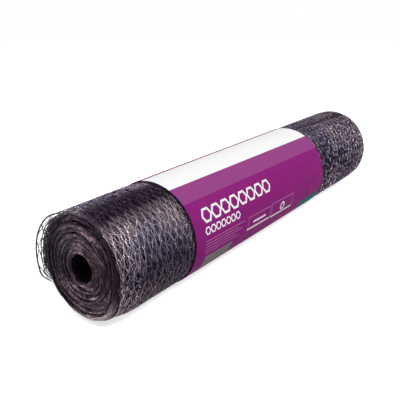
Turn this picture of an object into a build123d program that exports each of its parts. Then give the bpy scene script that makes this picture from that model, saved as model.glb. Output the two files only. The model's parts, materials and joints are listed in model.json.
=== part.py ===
from build123d import *
import os
from math import atan2, cos, degrees, radians, sin

# A roll of hexagonal wire netting lying on its side, held by a printed card wrap.
# Millimetres. X runs along the roll, from the near end to the far end. Z is up.
# The origin is on the floor, under the middle of the roll.

# Sheet and roll
netting_width = 900.0  # the sheet is as wide as the roll is long
roll_diameter = 190.0
bore_diameter = 46.0  # open middle, where the winding bar was drawn out

# Loose outer turns, which have slid towards the near end and stand out at the back
outer_turn_shift = 8.0
outer_turn_slant = 11.0  # how much further in they end at the front
outer_turn_side = 155.0  # where they stand out most, from the front (-Y) over the top
outer_turn_thickness = 5.0
outer_turn_gap = 3.2  # between the loose turns and the tight ones
outer_turn_gap_depth = 30.0
outer_turn_edge = 1.2  # bevel of the turned-in selvedge

# Tight turns: their ends stand out in a low crest, part of the way out from the bore
bore_rim_recess = 2.0  # how far the innermost turn sits behind the crest
shoulder_drop = 5.0  # how far the last tight turn sits behind the crest
shoulder_width = 26.0  # from the crest out to the last tight turn
far_edge_radius = 9.0  # rounding of the far end, where no turn has slid out

# Gap between neighbouring turns, which winds out from the bore as a spiral
turn_pitch = 6.2
turn_gap = 1.0
turn_gap_depth = 10.0
inner_turn_thickness = 2.6  # wall left between the bore and the start of the gap
last_turn_thickness = 2.4  # wall left between the end of the gap and the loose turns
wide_gap_turns = (2, 5)  # turns that have sprung apart
wide_gap_extra = 1.2

# Printed card wrap
wrap_length = 476.0
wrap_setback = 169.0  # from the near end of the tight turns to the wrap
card_thickness = 0.4
wrap_clearance = 0.3  # slack between the card and the netting
wrap_pinch = 1.2  # how far the wrap draws the netting in
pinch_slope = 7.0  # length over which the netting swells out again
overlap_width = 32.0  # glued overlap of the card, measured round the roll
overlap_angle = 152.0  # where its free edge lies, from the front (-Y) over the top

# Worked out from the sizes above
roll_radius = roll_diameter / 2
bore_radius = bore_diameter / 2
waist_radius = roll_radius - wrap_pinch
loose_inner_radius = roll_radius - outer_turn_thickness
tight_radius = loose_inner_radius - outer_turn_gap
crest_radius = tight_radius - shoulder_width
near_face = -netting_width / 2 + outer_turn_shift / 2
loose_face = near_face - outer_turn_shift
far_face = near_face + netting_width
wrap_near = near_face + wrap_setback
wrap_far = wrap_near + wrap_length


def on_axis(shape):
    """Lifts a shape made about the X axis so that the roll rests on the floor."""
    return Pos(0, 0, roll_radius) * shape


def roll_profile():
    """Half section of the roll: X along the axis, Y out from it."""
    gap_floor = near_face + outer_turn_gap_depth
    far_corner = (far_face - shoulder_drop, roll_radius)
    with BuildSketch() as section:
        with BuildLine():
            Polyline(
                (near_face + bore_rim_recess, bore_radius),
                (near_face, crest_radius),
                (near_face + shoulder_drop, tight_radius),
                (gap_floor, tight_radius),
                (gap_floor, loose_inner_radius),
                (loose_face, loose_inner_radius),
                (loose_face, roll_radius),
                (wrap_near - pinch_slope, roll_radius),
                (wrap_near, waist_radius),
                (wrap_far, waist_radius),
                (wrap_far + pinch_slope, roll_radius),
                far_corner,
                (far_face, crest_radius),
                (far_face - bore_rim_recess, bore_radius),
                close=True,
            )
        make_face()
        fillet(section.vertices().sort_by_distance(far_corner)[0], far_edge_radius)
    return section.sketch


def gap_radii():
    """Inner and outer radius of the gap between turns, one pair for each half turn."""
    start = bore_radius + inner_turn_thickness
    end = tight_radius - last_turn_thickness
    half_turns = int((end - start - turn_gap) // (turn_pitch / 2))
    wide = [2 * turn for turn in wide_gap_turns]
    pairs = []
    for half in range(half_turns + 1):
        inner = start + half * turn_pitch / 2
        width = turn_gap + (wide_gap_extra if half in wide else 0)
        pairs.append((inner, inner + width))
    return pairs


def half_turn_points(radii):
    """Corner and middle points of a chain of half circles that winds outwards."""
    chain = []
    for half, (radius, next_radius) in enumerate(zip(radii, radii[1:])):
        side = 1 if half % 2 == 0 else -1
        start = (side * radius, 0)
        end = (-side * next_radius, 0)
        middle = ((start[0] + end[0]) / 2, side * (radius + next_radius) / 2)
        chain.append((start, middle, end))
    return chain


def turn_gap_section():
    """Section of the spiral gap, drawn across the roll."""
    inner_chain = half_turn_points([pair[0] for pair in gap_radii()])
    outer_chain = half_turn_points([pair[1] for pair in gap_radii()])
    with BuildSketch(Plane.YZ) as section:
        with BuildLine():
            for start, middle, end in inner_chain + outer_chain:
                ThreePointArc(start, middle, end)
            Line(inner_chain[0][0], outer_chain[0][0])
            Line(inner_chain[-1][2], outer_chain[-1][2])
        make_face()
    return section.sketch


def slant_cut():
    """What is trimmed off the loose turns, so that they stand out on one side only."""
    middle_radius = (tight_radius + loose_inner_radius) / 2
    outside = roll_radius + outer_turn_gap
    depth = 2 * outer_turn_slant
    ring = Cylinder(outside, 2 * depth, rotation=(0, 90, 0))
    ring -= Cylinder(middle_radius, 3 * depth, rotation=(0, 90, 0))
    tilt = degrees(atan2(outer_turn_slant, roll_diameter))
    block = Box(depth, 3 * roll_diameter, 3 * roll_diameter, align=(Align.MAX, Align.CENTER, Align.CENTER))
    slanted = Pos(outer_turn_slant / 2, 0, 0) * Rot(0, 0, tilt) * block
    cut = Pos(loose_face, 0, 0) * (ring & slanted)
    return Rot(180 - outer_turn_side, 0, 0) * cut


def mesh_roll():
    """The wound netting: one turned solid with its bore, and its turns cut into both ends."""
    roll = revolve(Plane.XY * roll_profile(), Axis.X) - slant_cut()
    loose_end = roll.faces().sort_by(Axis.X)[0]
    roll = chamfer(loose_end.outer_wire().edges(), outer_turn_edge)
    gap = turn_gap_section()
    deepest_dish = max(bore_rim_recess, shoulder_drop)
    cut_depth = deepest_dish + turn_gap_depth
    near_cut = Pos(near_face - deepest_dish, 0, 0) * extrude(gap, deepest_dish + cut_depth)
    far_cut = Pos(far_face - cut_depth, 0, 0) * extrude(gap, cut_depth + deepest_dish)
    return on_axis(roll - near_cut - far_cut)


def label_wrap():
    """The card wrap: a thin sleeve, two cards thick where its ends overlap."""
    inner_radius = waist_radius + wrap_clearance
    outer_radius = inner_radius + card_thickness
    flap_radius = outer_radius + card_thickness
    buried_radius = inner_radius + card_thickness / 2
    free_edge = radians(180 - overlap_angle)
    glued_edge = free_edge + overlap_width / outer_radius
    middle = (free_edge + glued_edge) / 2

    def at(radius, angle):
        return (radius * cos(angle), radius * sin(angle))

    with BuildSketch(Plane.YZ) as section:
        Circle(outer_radius)
        Circle(inner_radius, mode=Mode.SUBTRACT)
        with BuildLine():
            ThreePointArc(at(flap_radius, free_edge), at(flap_radius, middle), at(flap_radius, glued_edge))
            Line(at(flap_radius, glued_edge), at(buried_radius, glued_edge))
            ThreePointArc(
                at(buried_radius, glued_edge), at(buried_radius, middle), at(buried_radius, free_edge)
            )
            Line(at(buried_radius, free_edge), at(flap_radius, free_edge))
        make_face()
    return on_axis(Pos(wrap_near, 0, 0) * extrude(section.sketch, wrap_length))


os.makedirs("parts", exist_ok=True)
for name, make in (("mesh_roll", mesh_roll), ("label_wrap", label_wrap)):
    export_step(make(), f"parts/{name}.step")
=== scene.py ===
import json
import math
import bpy
import numpy as np
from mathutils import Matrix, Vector


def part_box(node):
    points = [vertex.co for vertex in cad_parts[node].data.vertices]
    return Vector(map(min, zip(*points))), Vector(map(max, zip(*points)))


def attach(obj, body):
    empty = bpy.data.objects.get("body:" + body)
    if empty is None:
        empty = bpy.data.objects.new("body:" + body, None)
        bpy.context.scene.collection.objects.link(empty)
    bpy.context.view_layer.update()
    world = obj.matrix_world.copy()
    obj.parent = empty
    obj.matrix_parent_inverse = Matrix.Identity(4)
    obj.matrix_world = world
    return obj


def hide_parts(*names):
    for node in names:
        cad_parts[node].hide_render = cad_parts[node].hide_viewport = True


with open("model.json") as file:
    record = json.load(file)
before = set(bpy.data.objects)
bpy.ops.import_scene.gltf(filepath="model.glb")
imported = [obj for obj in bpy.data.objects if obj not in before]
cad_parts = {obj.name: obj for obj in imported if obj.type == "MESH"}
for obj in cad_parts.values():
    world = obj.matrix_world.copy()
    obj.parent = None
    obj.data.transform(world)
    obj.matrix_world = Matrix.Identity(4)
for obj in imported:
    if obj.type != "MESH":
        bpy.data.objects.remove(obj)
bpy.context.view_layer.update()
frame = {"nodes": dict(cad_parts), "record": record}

# Metres and degrees. X runs along the roll from the near end, and Z is up.
# Angles round the roll start at the front, where the wrap is read, and go up over the top.

rollLow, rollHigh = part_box("mesh_roll")
wrapLow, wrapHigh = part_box("label_wrap")
boreMount = next(m for m in frame["record"]["mounts"] if m["name"] == "spindle_bore")
rollRadius = (rollHigh.z - rollLow.z) / 2
axisHeight = (rollHigh.z + rollLow.z) / 2
wrapRadius = (wrapHigh.z - wrapLow.z) / 2
boreRadius = boreMount["dims"]["r_mm"] / 1000
nearEnd = rollLow.x
farEnd = rollHigh.x

roll = {
    "looseShift": 0.008,       # how far the loose outer turns have slid out at the near end
    "looseTurns": 5,
    "looseGapDepth": 0.030,    # how deep the gap behind the loose turns runs
    "looseTaper": 0.034,       # how far back the loose turns are drawn in or sprung out
    "tightRadius": 0.0868,     # last tight turn at the near end
    "turns": 81,
    "crestRadius": 0.0608,     # the turn that stands furthest out at each end
    "boreRecess": 0.0015,
    "shoulderDrop": 0.005,
    "farEdgeDrop": 0.0014,
    "farEdgeRun": 0.007,
    "waistDip": 0.0016,        # how far the wrap draws the netting in
    "waistSlope": 0.010,
    "foldAngle": 86,           # groove along the far part, beside the free end of the sheet
    "foldLean": -42,           # how much it turns round the roll, for each metre along
    "foldHalfWidth": 7,
    "foldDepth": 0.0050,
    "foldRise": 0.012,         # where it deepens, beside the wrap
    "foldFade": 0.035,         # where it runs out, before the far end
    "foldFaded": 0.8,          # how much of it is gone at the far end
}
nearFace = nearEnd + roll["looseShift"]

netting = {
    "cellWidth": 0.0148,       # between the twists of one row, along the roll
    "cellLength": 0.037,       # from twist to twist, round the roll
    "twistLength": 0.0065,
    "twistTurns": 1.5,
    "twistSteps": 6,
    "wireRadius": 0.00034,
    "roomOutside": 2.1,        # kept free below the roll's surface, in wire radii
    "strandApart": 1.02,       # strands of a twist, from its middle, in wire radii
    "plainApart": 1.05,        # the same where the twists aren't shown
    "plainThick": 1.12,
    "layerPitch": 0.0008,
    "cellSpread": 0.20,        # cells of one turn are drawn out or pushed together by up to this share
    "drift": 0.0105,           # how far the cells wander, in broad sweeps and one by one
    "jitter": 0.0042,
    "lift": 0.00025,           # how far a plain wire rises or sinks
    "wrinkle": 0.0007,         # dents that all the turns share
    "slack": 0.0004,           # dents of each turn alone
    "packedPitch": 0.75,       # share of the pitch that is left between tight turns at the near end
    "packedSlack": 0.0003,
    "nearStep": 0.0003,        # how far each tight turn stands out past the one outside it
    "edgeHold": 0.02,          # the sheet wanders less, this close to its edges
    "edgeFollow": 0.05,        # how far in the cells follow the uneven edge
    "thickEdge": 0.024,
    "edgeThickness": 1.5,
    "tuckUnderWrap": 0.014,
    "farSet": 0.0009,          # how far inside the far end each turn stops
    "farStep": 0.0002,
    "layers": 18,
    "twistedLayers": 2,        # these show every strand of their twists
    "middleLayers": 4,
    "seed": 7,
}

rng = np.random.default_rng(netting["seed"])


# Mesh building

def meshPiece(name, points, faces, material):
    mesh = bpy.data.meshes.new(name)
    mesh.vertices.add(len(points))
    mesh.vertices.foreach_set("co", points.astype(np.float32).ravel())
    mesh.loops.add(faces.size)
    mesh.loops.foreach_set("vertex_index", faces.astype(np.int32).ravel())
    mesh.polygons.add(len(faces))
    mesh.polygons.foreach_set("loop_start", np.arange(0, faces.size, faces.shape[1], dtype=np.int32))
    mesh.polygons.foreach_set("use_smooth", np.full(len(faces), True))
    mesh.update(calc_edges=True)
    mesh.validate()
    mesh.materials.append(material)
    piece = bpy.data.objects.new(name, mesh)
    bpy.context.collection.objects.link(piece)
    return piece


def unit(vectors):
    return vectors / np.maximum(np.linalg.norm(vectors, axis=-1, keepdims=True), 1e-12)


def aroundRoll(angle, radius, along):
    angle, radius, along = np.broadcast_arrays(angle, radius, along)
    turned = np.radians(angle)
    return np.stack([along, -radius * np.cos(turned), axisHeight + radius * np.sin(turned)], -1)


def tubes(paths, radius, sides, closed):
    # paths is wires x points x 3, and gives points and four-sided faces
    ahead = np.roll(paths, -1, 1)
    behind = np.roll(paths, 1, 1)
    if not closed:
        ahead[:, -1] = paths[:, -1]
        behind[:, 0] = paths[:, 0]
    forward = unit(ahead - behind)
    outward = unit((paths - (0, 0, axisHeight)) * (0, 1, 1))
    across = unit(np.cross(forward, outward))
    upward = np.cross(across, forward)
    corner = np.arange(sides) * 2 * math.pi / sides
    radius = np.broadcast_to(radius, paths.shape[:2])[:, :, None, None]
    ring = np.cos(corner)[:, None] * across[:, :, None] + np.sin(corner)[:, None] * upward[:, :, None]
    points = paths[:, :, None] + radius * ring
    wires, steps = paths.shape[:2]
    number = np.arange(wires * steps * sides).reshape(wires, steps, sides)
    beside = np.roll(number, -1, 2)
    if closed:
        here, there = number, np.roll(number, -1, 1)
        hereBeside, thereBeside = beside, np.roll(beside, -1, 1)
    else:
        here, there = number[:, :-1], number[:, 1:]
        hereBeside, thereBeside = beside[:, :-1], beside[:, 1:]
    faces = np.stack([here, hereBeside, thereBeside, there], -1).reshape(-1, 4)
    if not closed and sides == 4:      # a cap on each end of the wire
        faces = np.concatenate([faces, number[:, 0, ::-1], number[:, -1]])
    return points.reshape(-1, 3), faces


def joined(parts):
    points, faces, count = [], [], 0
    for somePoints, someFaces in parts:
        points.append(somePoints)
        faces.append(someFaces + count)
        count += len(somePoints)
    return np.concatenate(points), np.concatenate(faces)


# The shape of the wound sheet

def smoothStep(value, low, high):
    t = np.clip((value - low) / (high - low), 0, 1)
    return t * t * (3 - 2 * t)


def blend(share, first, second):
    return (1 - share) * first + share * second


def bump(angle, centre, halfWidth):
    away = np.abs((angle - centre + 180) % 360 - 180)
    return 1 - smoothStep(away, 0, halfWidth)


ripples = {
    # how many waves lie over one another, the most of them round the roll, and in a metre along it
    "looseEdge": (7, 8, 1),
    "wrinkle": (14, 9, 14),
    "turn": (10, 12, 22),
    "drift": (9, 7, 12),
    "jitter": (8, 60, 90),
    "winding": (8, 5, 1.5),
    "windingWander": (6, 4, 2),
    "edgeWire": (6, 7, 3),
}


def makeRipple(kind):
    # a gentle random field over the roll that meets itself after one turn
    terms, roundMost, alongMost = ripples[kind]
    roundWaves = rng.integers(1, roundMost + 1, terms)
    alongWaves = rng.uniform(-alongMost, alongMost, terms)
    phase = rng.uniform(0, 2 * math.pi, terms)
    weight = rng.uniform(0.5, 1, terms)

    def ripple(angle, along):
        total = 0
        for a, b, p, w in zip(roundWaves, alongWaves, phase, weight):
            total = total + w * np.sin(a * np.radians(angle) + 2 * math.pi * b * along + p)
        return total / weight.sum()

    return ripple


nearRim = {
    # the loose turns at the near end are drawn in at the front, top and bottom, and spring open at the back
    "front": (2, 74),          # middle and half width of the drawn-in front
    "frontRadius": 0.0838,
    "upperRadius": 0.0890,
    "lowerRadius": 0.0894,
    "lowerFrom": (150, 210),
    "closedSet": 0.0100,       # how far the drawn-in edges lie behind the roll's end
    "closedStep": 0.0003,
    "closedSetStep": 0.0024,
    "backSet": 0.007,          # and how much further back they lie underneath, at the back
    "wobble": 0.0016,
    "underFrom": (200, 222),
    "underTo": (312, 342),
    "openFrom": (96, 124),
    "openTo": (198, 217),
    "openDrop": (0.0009, 0.0058, 0.0078, 0.0090, 0.0100),      # below the surface, for each loose turn
    "openSet": (0.0017, 0.0066, 0.0090, 0.0105, 0.0115),
    "tightFrontAt": (-6, 56),
    "tightFront": 0.0765,
    "tightOpen": 0.0836,
    "tightSlack": 0.0004,      # room left inside the drawn-in turns at the top and bottom
}
outermost = rollRadius - netting["wireRadius"] * netting["roomOutside"]


def openShare(angle):
    angle = angle % 360
    return smoothStep(angle, *nearRim["openFrom"]) * (1 - smoothStep(angle, *nearRim["openTo"]))


def underneath(angle):
    angle = angle % 360
    return smoothStep(angle, *nearRim["underFrom"]) * (1 - smoothStep(angle, *nearRim["underTo"]))


def closedRadius(angle):
    lower = smoothStep(angle % 360, *nearRim["lowerFrom"])
    side = blend(lower, nearRim["upperRadius"], nearRim["lowerRadius"])
    return blend(bump(angle, *nearRim["front"]), side, nearRim["frontRadius"])


rimWobble = [makeRipple("looseEdge") for turn in range(roll["looseTurns"])]


def looseRim(layer, angle):
    # radius and place along the roll of a loose turn's edge
    share = openShare(angle)
    wobble = 0.5 + 0.5 * rimWobble[layer](angle, 0)
    step = layer * nearRim["closedStep"] + nearRim["wobble"] * wobble
    radius = blend(share, closedRadius(angle) - step, outermost - nearRim["openDrop"][layer])
    inset = nearRim["closedSet"] + layer * nearRim["closedSetStep"] + 2 * nearRim["wobble"] * (1 - wobble)
    inset = inset + nearRim["backSet"] * underneath(angle)
    return radius, nearEnd + blend(share, inset, nearRim["openSet"][layer])


def bodyRim(angle):
    # outside of the tight turns at the near end
    inside = closedRadius(angle) - nearRim["tightSlack"] - roll["looseTurns"] * nearRim["closedStep"]
    closed = blend(bump(angle, *nearRim["tightFrontAt"]), inside, nearRim["tightFront"])
    return blend(openShare(angle), np.minimum(closed, inside), nearRim["tightOpen"])


def envelope(angle, along):
    # outer surface of the roll away from its near end
    slope = roll["waistSlope"]
    dip = smoothStep(along, wrapLow.x - slope, wrapLow.x)
    dip = dip * (1 - smoothStep(along, wrapHigh.x, wrapHigh.x + slope))
    rounding = roll["farEdgeDrop"] * smoothStep(along, farEnd - roll["farEdgeRun"], farEnd)
    foldAngle = roll["foldAngle"] + roll["foldLean"] * (along - wrapHigh.x)
    fold = roll["foldDepth"] * bump(angle, foldAngle, roll["foldHalfWidth"])
    fold = fold * smoothStep(along, wrapHigh.x, wrapHigh.x + roll["foldRise"])
    fold = fold * (1 - roll["foldFaded"] * smoothStep(along, farEnd - roll["foldFade"], farEnd))
    return outermost - roll["waistDip"] * dip - rounding - fold


wrinkle = makeRipple("wrinkle")


def layerRadius(layer, angle, along, ripple):
    surface = envelope(angle, along) - netting["wrinkle"] * (1 + wrinkle(angle, along))
    stacked = surface - layer * netting["layerPitch"] - netting["slack"] * (1 + ripple(angle, along))
    inwards = layer - roll["looseTurns"]
    if inwards < 0:
        rim, edge = looseRim(layer, angle)
        opening = 1 - smoothStep(along, edge, edge + roll["looseTaper"])
        return blend(opening, stacked, rim)
    opening = 1 - smoothStep(along, nearFace, nearFace + roll["looseGapDepth"])
    tight = bodyRim(angle) - inwards * netting["layerPitch"] * netting["packedPitch"]
    tight = tight - netting["packedSlack"] * (1 + ripple(angle, along))
    return blend(opening, stacked, np.minimum(tight, stacked))


def nearEdgeOf(layer, angle):
    if layer < roll["looseTurns"]:
        return looseRim(layer, angle)[1]
    step = netting["nearStep"] * (layer - roll["looseTurns"])
    return nearFace + roll["shoulderDrop"] - step + 0 * angle


def farEdgeOf(layer):
    return farEnd - netting["farSet"] - layer * netting["farStep"]


# Netting

class Turn:
    # one turn of netting between two places along the roll
    def __init__(self, layer, low, high, atNearEnd):
        self.layer, self.low, self.high, self.atNearEnd = layer, low, high, atNearEnd
        self.ripple = makeRipple("turn")
        self.driftAlong = makeRipple("drift")
        self.driftRound = makeRipple("drift")
        self.jitterAlong = makeRipple("jitter")
        self.jitterRound = makeRipple("jitter")
        self.radius = rollRadius - layer * netting["layerPitch"]
        stretch = 1 + netting["cellSpread"] * rng.uniform(-1, 1)
        cells = int(round(2 * math.pi * self.radius / netting["cellLength"] * stretch))
        self.rows = max(2, cells) * 2
        self.rowStep = 360 / self.rows
        self.half = netting["cellWidth"] / 2 * stretch
        self.twist = math.degrees(netting["twistLength"] / self.radius)
        self.startAngle = rng.uniform(0, 360)
        self.count = int(math.ceil((high - low) / self.half)) + 2
        self.first = low - rng.uniform(0, 1) * self.half

    def wander(self, drift, jitter, angle, along):
        return netting["drift"] * drift(angle, along) + netting["jitter"] * jitter(angle, along)

    def placed(self, angle, along, lift):
        # keeps the sheet's edge where it is and lets the inside of the sheet wander
        inside = np.clip(np.minimum(along - self.low, self.high - along) / netting["edgeHold"], 0, 1)
        moved = along + inside * self.wander(self.driftAlong, self.jitterAlong, angle, along)
        slide = self.wander(self.driftRound, self.jitterRound, angle, along)
        turned = angle + self.startAngle + np.degrees(slide / self.radius)
        moved = np.clip(moved, self.low, self.high)
        if self.atNearEnd:
            shift = nearEdgeOf(self.layer, turned) - self.low
            moved = moved + shift * (1 - smoothStep(moved, self.low, self.low + netting["edgeFollow"]))
        radius = layerRadius(self.layer, turned % 360, moved, self.ripple)
        return aroundRoll(turned, radius + lift, moved)

    def thickness(self, angle, along):
        # the strands of the sprung-open edge are wound round the selvedge, and thicker
        if not self.atNearEnd:
            return np.ones(np.broadcast(angle, along).shape)
        near = 1 - smoothStep(along, self.low, self.low + netting["thickEdge"])
        return 1 + netting["edgeThickness"] * near * openShare(angle + self.startAngle)

    def plainWires(self):
        # each wire lies beside its neighbour for the length of a twist, then crosses to the other one
        wire = netting["wireRadius"]
        row = np.arange(self.rows)
        column = np.arange(self.count)[:, None] + row[None, :] % 2
        side = np.where(row % 2 == 0, 1, -1)[None, :] * wire * netting["plainApart"]
        along = np.repeat(self.first + column * self.half + side, 2, 1)
        middle = row * self.rowStep
        angle = np.stack([middle - self.twist / 2, middle + self.twist / 2], 1).ravel()[None, :]
        lift = np.repeat(rng.uniform(-1, 1, column.shape) * netting["lift"], 2, 1)
        radius = wire * netting["plainThick"] * self.thickness(angle, along)
        return tubes(self.placed(angle, along, lift), radius, 3, True)

    def twistedWires(self):
        # strands run from the middle of one slanted wire, round their neighbour, to the middle of the next
        wire, apart = netting["wireRadius"], netting["strandApart"]
        column, row = np.arange(self.count + 1), np.arange(self.rows)
        t = np.linspace(0, 1, netting["twistSteps"] + 1)
        angle = np.concatenate([[-self.rowStep / 2], (t - 0.5) * self.twist, [self.rowStep / 2]])
        parts = []
        for parity in (0, 1):
            centre = self.first + column[column % 2 == parity] * self.half
            rowAngle = row[row % 2 == parity] * self.rowStep
            for strand in (0, 1):
                phase = math.pi * strand + 2 * math.pi * netting["twistTurns"] * t
                enter = self.half / 2 if strand == 0 else -self.half / 2
                along = np.concatenate([[enter], np.cos(phase) * wire * apart, [-enter]])
                lift = np.concatenate([[0], np.sin(phase) * wire * apart, [0]])
                everyAlong, everyAngle, everyLift = np.broadcast_arrays(
                    centre[:, None, None] + along, rowAngle[None, :, None] + angle, lift)
                keep = everyAlong.min(2) > self.low - self.half
                keep = keep & (everyAlong.max(2) < self.high + self.half)
                path = self.placed(everyAngle[keep], everyAlong[keep], everyLift[keep])
                radius = wire * self.thickness(everyAngle[keep], everyAlong[keep])
                parts.append(tubes(path, radius, 4, False))
        return joined(parts)


print("shape set out")


# Materials

class Maths:
    # wraps a socket, so that an expression on values adds its nodes
    def __init__(self, nodes, socket):
        self.nodes = nodes
        self.socket = socket

    def op(self, operation, *others):
        return self.nodes.add("ShaderNodeMath", {"operation": operation}, [self, *others])

    def __add__(self, other):
        return self.op("ADD", other)

    def __sub__(self, other):
        return self.op("SUBTRACT", other)

    def __rsub__(self, other):
        return self.nodes.add("ShaderNodeMath", {"operation": "SUBTRACT"}, [other, self])

    def __mul__(self, other):
        return self.op("MULTIPLY", other)

    def __gt__(self, other):
        return self.op("GREATER_THAN", other)

    def __lt__(self, other):
        return self.op("LESS_THAN", other)

    def __abs__(self):
        return self.op("ABSOLUTE")

    __radd__ = __add__
    __rmul__ = __mul__

    def power(self, exponent):
        return self.op("POWER", exponent)

    def between(self, low, high):
        return (self > low) * (self < high)

    def orMore(self, *others):
        # the largest of several values
        largest = self
        for other in others:
            largest = largest.op("MAXIMUM", other)
        return largest


def opaque(colour):
    # adds the alpha to a written colour, and leaves a node's output as it is
    return colour if isinstance(colour, Maths) else (*colour, 1)


class Nodes:
    # the nodes of a material, or of the world
    def __init__(self, owner):
        owner.use_nodes = True
        self.owner = owner
        self.tree = owner.node_tree
        self.shader = self.tree.nodes.get("Principled BSDF")

    def connect(self, value, socket):
        if isinstance(value, Maths):
            self.tree.links.new(value.socket, socket)
        else:
            socket.default_value = value

    def add(self, kind, settings=None, sockets=None, output=0):
        # output is a number or a name, and None gives all of them by name
        node = self.tree.nodes.new(kind)
        for key, value in (settings or {}).items():
            setattr(node, key, value)
        given = sockets.items() if isinstance(sockets, dict) else enumerate(sockets or [])
        for key, value in given:
            self.connect(value, node.inputs[key])
        if output is None:
            return {socket.name: Maths(self, socket) for socket in node.outputs}
        return Maths(self, node.outputs[output])

    def remap(self, value, low, high):
        return self.add("ShaderNodeMapRange", None, {"Value": value, "From Min": low, "From Max": high})

    def mix(self, share, first, second):
        sockets = {0: share, 6: opaque(first), 7: opaque(second)}
        return self.add("ShaderNodeMix", {"data_type": "RGBA"}, sockets, 2)

    def noise(self, place, scale, detail, roughness=0.5, edge=None):
        # with an edge, runs from 0 to 1 between its two values
        sockets = {"Vector": place, "Scale": scale, "Detail": detail, "Roughness": roughness}
        plain = self.add("ShaderNodeTexNoise", None, sockets)
        return self.remap(plain, *edge) if edge else plain

    def feed(self, name, value):
        self.connect(value, self.shader.inputs[name])

    def surface(self, value):
        output = next(n for n in self.tree.nodes if n.type in ("OUTPUT_MATERIAL", "OUTPUT_WORLD"))
        self.connect(value, output.inputs["Surface"])


def materialNodes(name):
    return Nodes(bpy.data.materials.new(name))


class OnRoll:
    # where a point of a material lies: along the roll, out from its axis, and round it in degrees
    def __init__(self, nodes):
        self.place = nodes.add("ShaderNodeTexCoord", output="Object")
        split = nodes.add("ShaderNodeSeparateXYZ", None, {0: self.place}, None)
        self.along, self.back = split["X"], split["Y"]
        self.height = split["Z"] - axisHeight
        self.angle = self.height.op("ARCTAN2", self.back * -1.0) * (180 / math.pi)

    def radius(self):
        return (self.back * self.back + self.height * self.height).power(0.5)

    def level(self):
        # 1 at the front, 0 at the top and underneath, -1 at the back
        return (self.angle * (math.pi / 180)).op("COSINE")

    def upright(self):
        # 1 at the top, -1 underneath
        return (self.angle * (math.pi / 180)).op("SINE")


lowerRim = {
    # the turned-in edges at the near end, at the front underneath, which the light reaches
    "from": (-52, -20),
    "front": (-0.05, 0.15),
    "depth": (0.012, 0.030),
    "wire": (0.62, 0.52, 0.56),
    "packed": (0.20, 0.14, 0.17),
    "packedEven": 0.25,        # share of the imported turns' colour that isn't broken up by strands
    "clean": 0.75,
}


def onLowerRim(nodes, spot):
    low = (1.0 - nodes.remap(spot.angle, *lowerRim["from"])) * nodes.remap(spot.level(), *lowerRim["front"])
    shallow, deep = lowerRim["depth"]
    return low * (1.0 - nodes.remap(spot.along, nearFace + shallow, nearFace + deep))


wireLook = {
    # linear colours of the wire, in warm and cool patches, and the dark colour that dirt and painted shade
    # turn it to
    "outer": {"warm": (0.82, 0.68, 0.73), "cool": (0.50, 0.44, 0.58), "dark": (0.040, 0.017, 0.056)},
    # painted shade: the middle and deep turns are darker copies of the outer wire
    "middle": {"warm": (0.47, 0.37, 0.42), "cool": (0.235, 0.205, 0.31), "dark": (0.021, 0.008, 0.031)},
    "deep": {"warm": (0.22, 0.170, 0.190), "cool": (0.12, 0.098, 0.145), "dark": (0.011, 0.004, 0.015)},
    # painted shade: the wire inside the bore is near black
    "bore": {"warm": (0.006, 0.004, 0.006), "cool": (0.004, 0.003, 0.005), "dark": (0.001, 0.0005, 0.0015)},
    "patches": {"scale": 11, "detail": 2, "edge": (0.40, 0.60)},
    "dirt": {"scale": 130, "detail": 3, "roughness": 0.6},
    "spread": {"scale": 7.7, "detail": 1},     # broad patches where the dirt is thicker
    "spreadShare": 0.35,
    "dirtEdge": (0.585, 0.755),
    "metallic": 0.85,
    "roughness": 0.19,
    "dirtRoughness": 0.3,
    # on the near part: painted shade over the top and underneath, a painted shadow of the card's edge beside
    # the wrap, and a painted glint band between
    "topDark": 0.94,
    "topDarkFrom": (48, 66),
    "topDarkTo": (86, 102),
    "lowDark": 0.82,
    "lowDarkTo": (2, 32),
    "lowDarkAtEnd": 0.35,      # share of it that is left near the end
    "lowDarkRun": (0.012, 0.060),
    "wrapDark": 0.85,
    "wrapShade": 0.026,
    "clean": 0.76,
    "cleanAngle": 38,
    "cleanWidth": (6, 34),
    "backlit": 0.85,           # the sprung-open loop, seen against the light
    "backlitSide": (-0.5, -0.1),
    # on the far part: painted shade over the top, a painted shadow in the fold and painted shade on the lip
    # above it
    "farTopDark": 0.60,
    "farTopFrom": (30, 72),
    "foldDark": 0.9,
    "foldWidth": (2.0, 5.6),
    "lipDark": 0.55,
    # painted shade in the open gap at the near end
    "gapDark": 0.92,
    "gapFade": 0.012,
    "gapSide": (0.1, 0.6),
}


def nearPartPaintedShade(nodes, spot):
    # how much painted shade lies on the wire on the near part, from 0 to 1
    look = wireLook
    top = nodes.remap(spot.angle, *look["topDarkFrom"]) - nodes.remap(spot.angle, *look["topDarkTo"])
    runLow, runHigh = look["lowDarkRun"]
    pastEnd = nodes.remap(spot.along, nearEnd + runLow, nearEnd + runHigh)
    low = (1.0 - nodes.remap(spot.angle, *look["lowDarkTo"])) * look["lowDark"]
    low = low * (look["lowDarkAtEnd"] + pastEnd * (1 - look["lowDarkAtEnd"]))
    # painted shadow of the card's edge, beside the wrap
    besideWrap = nodes.remap(spot.along, wrapLow.x - look["wrapShade"], wrapLow.x) * look["wrapDark"]
    return (top * look["topDark"]).orMore(low, besideWrap) * (spot.along < 0.0)


def farPartPaintedShade(nodes, spot):
    # painted shade and painted shadow on the far part, from 0 to 1
    look = wireLook
    foldAngle = (spot.along - wrapHigh.x) * roll["foldLean"] + roll["foldAngle"]
    fold = (1.0 - nodes.remap(abs(spot.angle - foldAngle), *look["foldWidth"])) * look["foldDark"]
    lip = (spot.angle > foldAngle) * look["lipDark"]
    top = nodes.remap(spot.angle, *look["farTopFrom"]) * look["farTopDark"]
    return fold.orMore(lip, top) * (spot.along > 0.0)


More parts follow.
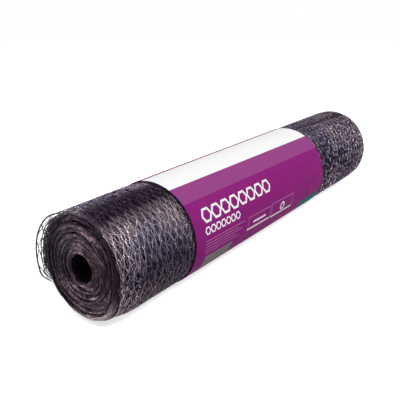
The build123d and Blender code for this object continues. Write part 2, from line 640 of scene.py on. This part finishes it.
def wireMaterial(name, look, inGap=False):
    nodes = materialNodes(name)
    spot = OnRoll(nodes)
    colour = nodes.mix(nodes.noise(spot.place, **wireLook["patches"]), look["cool"], look["warm"])
    dirt = nodes.noise(spot.place, **wireLook["dirt"])
    spread = nodes.noise(spot.place, **wireLook["spread"]) * wireLook["spreadShare"]
    grime = nodes.remap(dirt + spread, *wireLook["dirtEdge"])
    # painted glint band round the front of the near part, where the grime is thinned
    glintBand = 1.0 - nodes.remap(abs(spot.angle - wireLook["cleanAngle"]), *wireLook["cleanWidth"])
    grimeOutsideGlint = grime * (1.0 - glintBand * (spot.along < 0.0) * wireLook["clean"])
    gapEnd = nearFace + roll["looseGapDepth"]
    backlit = (1.0 - nodes.remap(spot.level(), *wireLook["backlitSide"])) * (spot.along < gapEnd)
    backlit = backlit * wireLook["backlit"]
    # dirt, painted shade and the backlit loop's shade all turn the wire to its dark colour
    dirtAndShade = grimeOutsideGlint.orMore(nearPartPaintedShade(nodes, spot), farPartPaintedShade(nodes, spot), backlit)
    if inGap:
        # painted shade in the gap, and painted light on the lower rim, which the light reaches
        inside = 1.0 - nodes.remap(spot.along, gapEnd - wireLook["gapFade"], gapEnd)
        gap = inside * nodes.remap(spot.level(), *wireLook["gapSide"])
        rim = onLowerRim(nodes, spot)
        dirtAndShade = dirtAndShade.orMore(gap * wireLook["gapDark"]) * (1.0 - rim * lowerRim["clean"])
        colour = nodes.mix(rim, colour, lowerRim["wire"])
    nodes.feed("Base Color", nodes.mix(dirtAndShade, colour, look["dark"]))
    nodes.feed("Roughness", wireLook["roughness"] + grime * wireLook["dirtRoughness"])
    nodes.feed("Metallic", wireLook["metallic"])
    return nodes.owner


outerWire = wireMaterial("galvanised_wire", wireLook["outer"])
middleWire = wireMaterial("galvanised_wire_below", wireLook["middle"])
deepWire = wireMaterial("galvanised_wire_deep", wireLook["deep"], True)
boreWire = wireMaterial("galvanised_wire_bore", wireLook["bore"])


endLook = {
    # streaks that follow the turns on the ends
    "light": (0.68, 0.49, 0.58),
    "mid": (0.165, 0.094, 0.135),
    "dark": (0.006, 0.002, 0.007),
    "turnsPerMetre": 300,
    "streakTurn": 1.6,
    "streaks": {"scale": 1.0, "detail": 3, "roughness": 0.6, "edge": (0.40, 0.62)},
    "spots": {"scale": 240, "detail": 2, "edge": (0.42, 0.62)},
    "sideDark": 0.80,          # painted shade on the turns where they run up and down
    "sideEdge": (0.5, 0.95),
    "roughness": 0.36,
    "metallic": 0.7,
}


def endWireMaterial():
    nodes = materialNodes("selvedge_wire")
    spot = OnRoll(nodes)
    level = spot.level()
    wrapped = nodes.add("ShaderNodeCombineXYZ", None, [
        spot.radius() * endLook["turnsPerMetre"],
        level * endLook["streakTurn"],
        spot.upright() * endLook["streakTurn"],
    ])
    streaks = nodes.noise(wrapped, **endLook["streaks"])
    spots = nodes.noise(spot.place, **endLook["spots"])
    colour = nodes.mix(streaks, endLook["dark"], endLook["mid"])
    colour = nodes.mix(streaks * streaks * spots, colour, endLook["light"])
    # painted shade where the turns run up and down
    sides = nodes.remap(abs(level), *endLook["sideEdge"]) * endLook["sideDark"]
    nodes.feed("Base Color", nodes.mix(sides, colour, endLook["dark"]))
    nodes.feed("Roughness", endLook["roughness"])
    nodes.feed("Metallic", endLook["metallic"])
    return nodes.owner


edgeWire = endWireMaterial()


looseLook = {
    # painted light and shade: the loop is lighter at the front, where it is lit, and darker at the back,
    # against the light
    "back": (0.075, 0.068, 0.072),
    "front": (0.13, 0.09, 0.11),
    "frontFrom": (-0.25, 0.2),
    "low": (0.50, 0.41, 0.45),     # painted light at the front, underneath
    "lowFrom": (-52, -22),
    "dark": (0.030, 0.016, 0.034),
    "dirt": {"scale": 200, "detail": 3, "edge": (0.4, 0.62)},
    "dirtShare": 0.7,
    "dirtLessLow": 0.4,
    "roughness": 0.45,
    "metallic": 0.7,
}


def looseWireMaterial():
    nodes = materialNodes("loose_selvedge_wire")
    spot = OnRoll(nodes)
    front = nodes.remap(spot.level(), *looseLook["frontFrom"])
    low = (1.0 - nodes.remap(spot.angle, *looseLook["lowFrom"])) * front
    colour = nodes.mix(front, looseLook["back"], looseLook["front"])
    colour = nodes.mix(low, colour, looseLook["low"])
    dirt = nodes.noise(spot.place, **looseLook["dirt"])
    # less dirt where the painted light lies
    share = looseLook["dirtShare"] - low * looseLook["dirtLessLow"]
    nodes.feed("Base Color", nodes.mix(dirt * share, colour, looseLook["dark"]))
    nodes.feed("Roughness", looseLook["roughness"])
    nodes.feed("Metallic", looseLook["metallic"])
    return nodes.owner


looseWire = looseWireMaterial()


packedLook = {
    # the imported turns behind the netting that shows, painted near black as shade, and painted fully black
    # inside the bore
    "dark": (0.0022, 0.0008, 0.0028),
    "light": (0.020, 0.011, 0.020),
    "strands": {"scale": 420, "detail": 4, "roughness": 0.7, "edge": (0.45, 0.75)},
    "patches": {"scale": 30, "detail": 2},
    "boreWall": 0.004,
    "roughness": 0.9,
    "shine": 0.1,
}


def coreMaterial():
    nodes = materialNodes("wound_netting")
    spot = OnRoll(nodes)
    radius = spot.radius()
    strands = nodes.noise(spot.place, **packedLook["strands"])
    patches = nodes.noise(spot.place, **packedLook["patches"])
    # painted shade: no strands show near the bore's wall, which stays black
    shown = strands * patches * (radius > boreRadius + packedLook["boreWall"])
    colour = nodes.mix(shown, packedLook["dark"], packedLook["light"])
    even = lowerRim["packedEven"]
    rim = onLowerRim(nodes, spot) * (radius > roll["crestRadius"]) * (even + strands * (1 - even))
    nodes.feed("Base Color", nodes.mix(rim, colour, lowerRim["packed"]))
    nodes.feed("Roughness", packedLook["roughness"])
    nodes.feed("Specular IOR Level", packedLook["shine"])
    return nodes.owner


print("wire materials made")


# Pieces of netting

def dress(piece):
    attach(piece, "root")
    return piece


def makeNetting(end, depth, layers, material):
    parts = []
    for layer in layers:
        if end == "near":
            low = nearEdgeOf(layer, np.arange(360)).min()
            turn = Turn(layer, low, wrapLow.x + netting["tuckUnderWrap"], True)
        else:
            turn = Turn(layer, wrapHigh.x - netting["tuckUnderWrap"], farEdgeOf(layer), False)
        parts.append(turn.twistedWires() if layer < netting["twistedLayers"] else turn.plainWires())
    points, faces = joined(parts)
    print("netting", end, depth, len(faces) * 2, "triangles")
    dress(meshPiece("netting_" + end + "_" + depth, points, faces, material))


middleFrom = netting["twistedLayers"]
deepFrom = middleFrom + netting["middleLayers"]
for end in ("near", "far"):
    makeNetting(end, "outer", range(middleFrom), outerWire)
    makeNetting(end, "middle", range(middleFrom, deepFrom), middleWire)
    makeNetting(end, "deep", range(deepFrom, netting["layers"]), deepWire)


# Selvedges: the edge wire of the sheet winds out from the bore to the outside

selvedge = {
    "wireRadius": 0.00042,
    "stepsPerTurn": 60,
    "boreRoom": 1.3,           # from the bore to the first turn, in wire radii
    "farRimDrop": 0.0062,      # last wound turn at the far end, below the roll's surface
    "farInset": 0.0008,
    "groupStep": 0.0040,       # how far neighbouring groups of turns stand apart along the roll
    "groupShift": (0.3, 0.7),
    "groupTurns": (3, 8),
    "firstGroup": 5,
    "turnShift": 0.22,         # how far single turns stand out of their group, as a share
    "slack": 0.0007,
    "wander": 0.0007,
    "changePerTurn": 0.05,
    "gapSpread": 150,
    "gapEdge": 0.0009,
    "gaps": (
        # radius, width, the side where it is widest, and how much of it is left on the other side
        (0.0300, 0.0012, 130, 0.5),
        (0.0385, 0.0013, 80, 0.5),
        (0.0455, 0.0028, 322, 0.1),
        (0.0575, 0.0036, 122, 0.5),
        (0.0660, 0.0012, 200, 0.3),
        (0.0738, 0.0026, 92, 0.1),
        (0.0770, 0.0012, 330, 0.2),
    ),
    "stubDepth": 0.0085,       # slanted wires that run from the edge wire to the first twists
    "stubReach": 0.25,         # share of a cell
    "looseSteps": 120,
    "looseRadius": (0.0014, 0.0009, 0.0007, 0.0006, 0.0006),   # doubled edge wire of each loose turn
    "closedRadius": 0.0004,
    "looseWander": 0.0005,
    "farTurns": 8,
    "farWander": 0.0008,
}
tightTurns = roll["turns"] - roll["looseTurns"]


def windingSteps():
    # turns lie in groups of a few, which stand out by different amounts
    step, place, left = [], rng.uniform(0, 1), selvedge["firstGroup"]
    for turn in range(tightTurns + 2):
        left -= 1
        if left <= 0:
            place = (place + rng.uniform(*selvedge["groupShift"])) % 1
            left = rng.integers(*selvedge["groupTurns"])
        step.append(place + rng.uniform(-selvedge["turnShift"], selvedge["turnShift"]))
    return np.array(step)


def windingRadius(turn, angle, atNearEnd, ripple):
    # evenly wound turns, moved apart where there is a gap
    rim = bodyRim(angle) if atNearEnd else rollRadius - selvedge["farRimDrop"]
    inner = boreRadius + selvedge["wireRadius"] * selvedge["boreRoom"]
    gaps = []
    for at, width, side, least in selvedge["gaps"]:
        gaps.append((at, width * (least + (1 - least) * bump(angle, side, selvedge["gapSpread"]))))
    total = sum(width for at, width in gaps)
    share = turn / tightTurns
    radius = inner + (rim - inner - total) * share
    for at, width in gaps:
        radius = radius + width * smoothStep(radius, at - selvedge["gapEdge"], at)
    slack = selvedge["slack"] * np.sin(math.pi * share)
    return radius + slack * ripple(angle, turn * selvedge["changePerTurn"])


def windingFace(radius):
    # how far the face is dished at this radius, on both sides of its crest
    crest = roll["crestRadius"]
    inward = smoothStep(crest - radius, 0, crest - boreRadius) * roll["boreRecess"]
    outward = smoothStep(radius - crest, 0, roll["tightRadius"] - crest) * roll["shoulderDrop"]
    return inward + outward


def windingStubs(path, atNearEnd):
    # slanted wires on both sides of each twist, along the edge wire
    spacing = netting["cellLength"]
    length = np.cumsum(np.concatenate([[0], np.linalg.norm(np.diff(path, axis=0), axis=1)]))
    knots = np.arange(spacing / 2, length[-1], spacing)
    inwards = 1 if atNearEnd else -1
    stubs = []
    for lean in (-1, 1):
        top = knots + lean * netting["twistLength"] / 2
        foot = knots + lean * (netting["twistLength"] / 2 + spacing * selvedge["stubReach"])
        points = []
        for share, place in ((0, top), (0.5, (top + foot) / 2), (1, foot)):
            here = np.stack([np.interp(place, length, path[:, axis]) for axis in range(3)], -1)
            here[:, 0] += inwards * share * selvedge["stubDepth"]
            points.append(here)
        stubs.append(tubes(np.stack(points, 1), netting["wireRadius"], 4, False))
    return stubs


def selvedgeSpiral(atNearEnd):
    # one long edge wire, with the slanted wires that leave it
    ripple = makeRipple("winding")
    steps = selvedge["stepsPerTurn"]
    turn = np.arange(tightTurns * steps + 1) / steps
    angle = turn * 360 % 360
    step = windingSteps()
    offset = selvedge["groupStep"] * np.interp(turn, np.arange(len(step)), step)
    change = turn * selvedge["changePerTurn"]
    wander = selvedge["wander"] * (1 + makeRipple("windingWander")(angle, change))
    radius = windingRadius(turn, angle, atNearEnd, ripple)
    depth = windingFace(radius) + (offset + wander)
    along = nearFace + depth if atNearEnd else farEnd - selvedge["farInset"] - depth
    path = aroundRoll(angle, radius, along)
    wire = tubes(path[None], selvedge["wireRadius"], 4, False)
    return joined([wire, *windingStubs(path, atNearEnd)])


for end in ("near", "far"):
    points, faces = selvedgeSpiral(end == "near")
    print("selvedge", end, len(faces) * 2, "triangles")
    dress(meshPiece("selvedge_" + end, points, faces, edgeWire))


def looseSelvedges():
    # edge wires of the outer turns, at both ends
    parts = []
    steps = selvedge["looseSteps"]
    angle = np.arange(steps) * 360 / steps
    for layer in range(roll["looseTurns"]):
        ripple = makeRipple("edgeWire")
        wander = selvedge["looseWander"] * (1 + ripple(angle, 0)) * (layer > 0)
        along = nearEdgeOf(layer, angle) + wander
        path = aroundRoll(angle, layerRadius(layer, angle, along, ripple), along)
        thickness = blend(openShare(angle), selvedge["closedRadius"], selvedge["looseRadius"][layer])
        parts.append(tubes(path[None], thickness[None], 6, True))
    for layer in range(selvedge["farTurns"]):
        ripple = makeRipple("edgeWire")
        along = farEdgeOf(layer) - selvedge["farWander"] * (1 + ripple(angle, 0))
        path = aroundRoll(angle, layerRadius(layer, angle, along, ripple), along)
        parts.append(tubes(path[None], selvedge["wireRadius"], 6, True))
    return joined(parts)


dress(meshPiece("selvedge_loose_turns", *looseSelvedges(), looseWire))


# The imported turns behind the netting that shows

core = {
    "segments": 160,
    "skin": 0.0018,            # dents and wires outside the layers
    "depthBelowNetting": 0.0004,
    "boreWall": 0.0012,
    "faceDepth": 0.0075,
    "belowRim": 0.0030,
    "behindRim": 0.014,
    "behindOpenRim": 0.0045,
    "swellAt": 0.034,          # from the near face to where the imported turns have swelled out
    "belowSurface": 0.0090,
    "openSwell": 0.0015,
    "bodyAt": 0.062,
    "fullForward": 0.8,        # underneath at the back the turns are packed right up to the outside
    "fullDepth": 0.0006,
    "fullSurface": 0.0045,
    "underWrap": (0.004, 0.012),
    "wrapSkin": 0.0022,
    "farShoulder": 0.030,
    "farFlare": 0.0040,
}


def coreRings(angle):
    # radius and place along the roll, from the near rim of the bore round to the far one
    outer = rollRadius - core["skin"] - netting["layers"] * netting["layerPitch"] - core["depthBelowNetting"]
    share = openShare(angle)
    full = underneath(angle)
    face = core["faceDepth"]
    belowRim = core["belowRim"] + (core["fullDepth"] - core["belowRim"]) * full
    belowSurface = core["belowSurface"] + (core["fullSurface"] - core["belowSurface"]) * full
    rimPlace = nearFace + roll["shoulderDrop"] + face * (1 - core["fullForward"] * full)
    behind = blend(share, closedRadius(angle) - belowRim, nearRim["tightOpen"] - core["behindOpenRim"])
    swell = blend(share, rollRadius - belowSurface, outer - core["openSwell"])
    wallRadius = boreRadius + core["boreWall"]
    underWrap = rollRadius - core["wrapSkin"]
    start, run = core["underWrap"]
    return [
        (wallRadius, nearFace + roll["boreRecess"] + face),
        (roll["crestRadius"], nearFace + face),
        (bodyRim(angle) - belowRim, rimPlace),
        (behind, nearFace + core["behindRim"]),
        (swell, nearFace + core["swellAt"]),
        (outer, nearFace + core["bodyAt"]),
        (outer, wrapLow.x + start),
        (underWrap, wrapLow.x + run),
        (underWrap, wrapHigh.x - run),
        (outer, wrapHigh.x - start),
        (outer, farEnd - core["farShoulder"]),
        (outer + core["farFlare"], farEnd - face),
        (roll["crestRadius"], farEnd - face),
        (wallRadius, farEnd - roll["boreRecess"] - face),
    ]


def makeCore():
    angle = np.arange(core["segments"]) * 360 / core["segments"]
    rings = [aroundRoll(angle, radius, along) for radius, along in coreRings(angle)]
    points = np.concatenate(rings)
    number = np.arange(len(points)).reshape(len(rings), -1)
    after = np.roll(number, -1, 0)
    faces = np.stack([number, np.roll(number, -1, 1), np.roll(after, -1, 1), after], -1).reshape(-1, 4)
    return dress(meshPiece("netting_core", points, faces, coreMaterial()))


coreObject = makeCore()


boreTurns = {
    # the innermost turns, seen through the bore
    "layers": 2,
    "setBack": 0.0005,
    "pitch": 0.0007,
    "inset": 0.001,
    "start": 0.4,              # share of half a cell
    "jitter": 0.0015,
}


def boreNetting():
    parts = []
    wire = netting["wireRadius"]
    half = netting["cellWidth"] / 2
    low = nearFace + roll["boreRecess"] + boreTurns["inset"]
    high = farEnd - roll["boreRecess"] - boreTurns["inset"]
    count = int((high - low) / half) - 1
    for layer in range(boreTurns["layers"]):
        radius = boreRadius + boreTurns["setBack"] + boreTurns["pitch"] * layer
        rows = 2 * int(round(2 * math.pi * radius / netting["cellLength"]))
        row = np.arange(rows)
        twist = math.degrees(netting["twistLength"] / radius)
        jitter = rng.uniform(-1, 1, (count + 1, rows)) * boreTurns["jitter"]
        column = np.arange(count)[:, None] + row[None, :] % 2
        side = np.where(row % 2 == 0, 1, -1) * wire
        along = low + half * boreTurns["start"] + column * half + jitter[column, row[None, :]] + side
        angle = row * 360 / rows + rng.uniform(0, 360)
        middle = (along + np.roll(along, -1, 1)) / 2
        everyAlong = np.stack([along, along, middle], 2).reshape(count, -1)
        everyAngle = np.stack([angle - twist / 2, angle + twist / 2, angle + 180 / rows], 1).ravel()
        path = aroundRoll(everyAngle[None, :], radius, np.clip(everyAlong, low, high))
        parts.append(tubes(path, wire, 3, True))
    return joined(parts)


dress(meshPiece("netting_bore", *boreNetting(), boreWire))
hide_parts("mesh_roll")
print("netting made")


# Printed card

card = {
    # linear colours
    "purple": (0.262, 0.0110, 0.185),
    "violet": (0.300, 0.056, 0.235),
    "white": (0.93, 0.93, 0.93),
    "teal": (0.006, 0.135, 0.155),
    "paleViolet": (0.50, 0.20, 0.43),
    "panelGrey": (0.34, 0.36, 0.35),
    "panelDark": (0.10, 0.06, 0.09),
    # finish
    "fade": {"scale": 9, "detail": 3, "edge": (0.3, 0.7)},
    "fadeShare": 0.12,         # how far the purple turns to violet in patches
    "scuffs": {"scale": 60, "detail": 4, "roughness": 0.6, "edge": (0.35, 0.75)},
    "scuffShare": 0.14,
    "roughness": 0.60,
    "shine": 0.06,
    "creases": {"scale": 16, "detail": 3, "roughness": 0.45},
    "creaseStrength": 0.28,
    "creaseDepth": 0.004,
    # places: millimetres along the roll, and degrees up from the front at the near edge of the card
    "skew": 4.5,               # degrees that the print climbs less at the far edge
    "whiteBandFoot": 66.6,
    "whiteBandTop": 104.5,     # this edge runs straight along the roll
    "violetBand": (45.0, 66.6),
    # boxes: where they start and end along the roll, their foot and their top
    "title": (-250.0, -8.0, 19.0, 34.5),
    "titleLine": 4.2,
    "subtitle": (-250.0, -138.0, 6.5, 15.0),
    "subtitleLine": 2.6,
    "cellsApart": 0.94,
    "rules": (-250.0, -128.0, -17.0, 0.5),
    "rulesShorter": (0, 22, 8, 30, 14),
    "ruleHeight": 1.1,
    "ruleInk": 0.75,
    "panel": (-246.0, -160.0, -41.0, -19.5),
    "panelStripe": 3.0,
    "barBox": (-115.0, -33.0, -16.5, 1.0),
    "ringBox": (-28.0, 60.0, -17.5, 2.0),
    "boxLine": 1.4,
    "boxFoot": 4.2,
    "barInset": 18,
    "barHalfHeight": 1.3,
    "ring": (9.0, 5.5),
    "tealStart": 112.0,        # at the top of the teal block, which runs on to the far edge
    "tealRise": (-39.0, -20.0),
    "tealSlant": 0.55,         # millimetres along for each degree down
}


class Print:
    # where things are printed on the card
    def __init__(self, spot):
        low, high = wrapLow.x * 1000, wrapHigh.x * 1000
        self.along = spot.along * 1000
        self.turned = spot.angle
        self.up = spot.angle + (self.along - low) * (card["skew"] / (high - low))
        self.perDegree = math.radians(1) * wrapRadius * 1000

    def inside(self, box, inset=0.0):
        low, high, under, over = box
        tall = inset / self.perDegree
        return self.along.between(low + inset, high - inset) * self.up.between(under + tall, over - tall)

    def outline(self, box, thickness):
        return self.inside(box) - self.inside(box, thickness)

    def foot(self, box, thickness):
        low, high, under, over = box
        return self.inside((low, high, under, under + thickness / self.perDegree))

    def hexagons(self, box, thickness):
        # a row of outlined cells, as high as the box
        low, high, under, over = box
        lean = math.radians(30)
        tall = (over - under) * self.perDegree / 2
        pitch = 2 * tall / math.cos(lean) * card["cellsApart"]
        count = int((high - low) // pitch)
        across = abs((self.along - low).op("MODULO", pitch) - pitch / 2)
        above = abs((self.up - (under + over) / 2) * self.perDegree)
        reach = above.orMore(across * math.cos(lean) + above * math.sin(lean))
        return reach.between(tall - thickness, tall) * self.along.between(low, low + count * pitch)

    def stripes(self, box, width):
        return self.inside(box) * ((self.along - box[0]).op("MODULO", 2 * width) < width)

    def disc(self, box, radius):
        low, high, under, over = box
        across = self.along - (low + high) / 2
        above = (self.up - (under + over) / 2) * self.perDegree
        return (across * across + above * above) < radius * radius


def whiteMarks(printed):
    # rows of cells where the words were, a bar in one box and a ring in the other
    low, high, under, over = card["barBox"]
    inset, middle, half = card["barInset"], (under + over) / 2, card["barHalfHeight"]
    bar = printed.inside((low + inset, high - inset, middle - half, middle + half))
    outer, inner = card["ring"]
    ring = printed.disc(card["ringBox"], outer) - printed.disc(card["ringBox"], inner)
    feet = printed.foot(card["barBox"], card["boxFoot"]) + printed.foot(card["ringBox"], card["boxFoot"])
    title = printed.hexagons(card["title"], card["titleLine"])
    return title + printed.hexagons(card["subtitle"], card["subtitleLine"]) + bar + ring + feet


def cardMaterial():
    nodes = materialNodes("printed_card")
    spot = OnRoll(nodes)
    printed = Print(spot)
    fade = nodes.noise(spot.place, **card["fade"]) * card["fadeShare"]
    colour = nodes.mix(fade, card["purple"], card["violet"])
    colour = nodes.mix(printed.up.between(*card["violetBand"]), colour, card["violet"])
    band = (printed.up > card["whiteBandFoot"]) * (printed.turned < card["whiteBandTop"])
    colour = nodes.mix(band, colour, card["white"])
    foot, top = card["tealRise"]
    pastEdge = printed.along + printed.up * card["tealSlant"] > card["tealStart"] + top * card["tealSlant"]
    colour = nodes.mix(pastEdge * printed.up.between(foot, top), colour, card["teal"])
    low, high, under, over = card["rules"]
    for line, shorter in enumerate(card["rulesShorter"]):
        top = over - line * (over - under) / len(card["rulesShorter"])
        rule = printed.inside((low, high - shorter, top - card["ruleHeight"], top))
        colour = nodes.mix(rule * card["ruleInk"], colour, card["paleViolet"])
    colour = nodes.mix(printed.inside(card["panel"]), colour, card["panelGrey"])
    colour = nodes.mix(printed.stripes(card["panel"], card["panelStripe"]), colour, card["panelDark"])
    barOutline = printed.outline(card["barBox"], card["boxLine"])
    ringOutline = printed.outline(card["ringBox"], card["boxLine"])
    colour = nodes.mix(barOutline + ringOutline, colour, card["paleViolet"])
    nodes.feed("Base Color", nodes.mix(whiteMarks(printed), colour, card["white"]))
    scuffs = nodes.noise(spot.place, **card["scuffs"])
    nodes.feed("Roughness", card["roughness"] + scuffs * card["scuffShare"])
    nodes.feed("Specular IOR Level", card["shine"])
    creases = nodes.noise(spot.place, **card["creases"])
    nodes.feed("Normal", nodes.add("ShaderNodeBump", None, {
        "Strength": card["creaseStrength"], "Distance": card["creaseDepth"], "Height": creases}))
    return nodes.owner


cardPrint = cardMaterial()
for slot in frame["nodes"]["label_wrap"].material_slots:
    slot.material = cardPrint
print("card printed")


# Camera, floor and light

view = {
    "target": (-0.1412, 0.0, 0.1158),
    "distance": 1.0747,
    "azimuth": -53.37,
    "elevation": 20.6,
    "lens": 50.8,
    "clip": (0.01, 50),
}


def makeCamera():
    around, above = math.radians(view["azimuth"]), math.radians(view["elevation"])
    back = Vector((math.sin(around) * math.cos(above), -math.cos(around) * math.cos(above), math.sin(above)))
    camera = bpy.data.objects.new("camera", bpy.data.cameras.new("camera"))
    camera.data.lens = view["lens"]
    camera.location = Vector(view["target"]) + back * view["distance"]
    camera.rotation_mode = "QUATERNION"
    camera.rotation_quaternion = (-back).to_track_quat("-Z", "Y")
    camera.data.clip_start, camera.data.clip_end = view["clip"]
    bpy.context.collection.objects.link(camera)
    bpy.context.scene.camera = camera


studio = {
    "floorSize": 14.0,
    "floorColour": (0.86, 0.86, 0.86, 1),
    "floorBounce": (0.34, 0.34, 0.34, 1),      # what the floor throws back at the roll
    "floorRoughness": 0.9,
    "floorLift": 0.67,         # added to what the camera sees of the floor, so that it reaches white
    "white": (1, 1, 1, 1),
    "worldStrength": 0.30,
    "key": {"place": (-0.65, -1.60, 1.95), "size": (0.5, 0.5), "power": 29.5},
    "side": {"place": (1.3, -1.45, 1.35), "size": (0.6, 0.6), "power": 11.5},
    "top": {"place": (-1.1, 1.15, 1.85), "size": (1.0, 0.8), "power": 15.0},
    "aim": (0, 0, 0.1),
}


def seenDirectly(nodes):
    # 1 for rays from the camera, in reflections and through glass
    path = nodes.add("ShaderNodeLightPath", output=None)
    return path["Is Camera Ray"].orMore(path["Is Glossy Ray"], path["Is Transmission Ray"])


def makeFloor():
    half = studio["floorSize"] / 2
    mesh = bpy.data.meshes.new("floor")
    corners = [(-half, -half, 0), (half, -half, 0), (half, half, 0), (-half, half, 0)]
    mesh.from_pydata(corners, [], [(0, 1, 2, 3)])
    floor = bpy.data.objects.new("floor", mesh)
    bpy.context.collection.objects.link(floor)
    nodes = materialNodes("pale_floor")
    nodes.feed("Base Color", studio["floorBounce"])
    nodes.feed("Roughness", studio["floorRoughness"])
    plain = Maths(nodes, nodes.shader.outputs[0])
    lifted = nodes.add("ShaderNodeBsdfPrincipled", None, {
        "Base Color": studio["floorColour"], "Roughness": studio["floorRoughness"],
        "Emission Color": studio["white"], "Emission Strength": studio["floorLift"]})
    nodes.surface(nodes.add("ShaderNodeMixShader", None, {0: seenDirectly(nodes), 1: plain, 2: lifted}))
    mesh.materials.append(nodes.owner)


def makeLamp(name):
    lamp = bpy.data.lights.new(name, "AREA")
    lamp.shape = "RECTANGLE"
    lamp.size, lamp.size_y = studio[name]["size"]
    lamp.energy = studio[name]["power"]
    holder = bpy.data.objects.new(name, lamp)
    holder.location = studio[name]["place"]
    holder.rotation_mode = "QUATERNION"
    aim = Vector(studio["aim"]) - Vector(studio[name]["place"])
    holder.rotation_quaternion = aim.to_track_quat("-Z", "Y")
    bpy.context.collection.objects.link(holder)


def makeWorld():
    world = bpy.data.worlds.new("studio")
    bpy.context.scene.world = world
    nodes = Nodes(world)
    dim = {"Color": studio["white"], "Strength": studio["worldStrength"]}
    lit = nodes.add("ShaderNodeBackground", None, dim)
    white = nodes.add("ShaderNodeBackground", None, {"Color": studio["white"], "Strength": 1.0})
    nodes.surface(nodes.add("ShaderNodeMixShader", None, {0: seenDirectly(nodes), 1: lit, 2: white}))


makeCamera()
makeFloor()
for lampName in ("key", "side", "top"):
    makeLamp(lampName)
makeWorld()

bpy.context.scene.view_settings.view_transform = "Standard"
print("scene set")
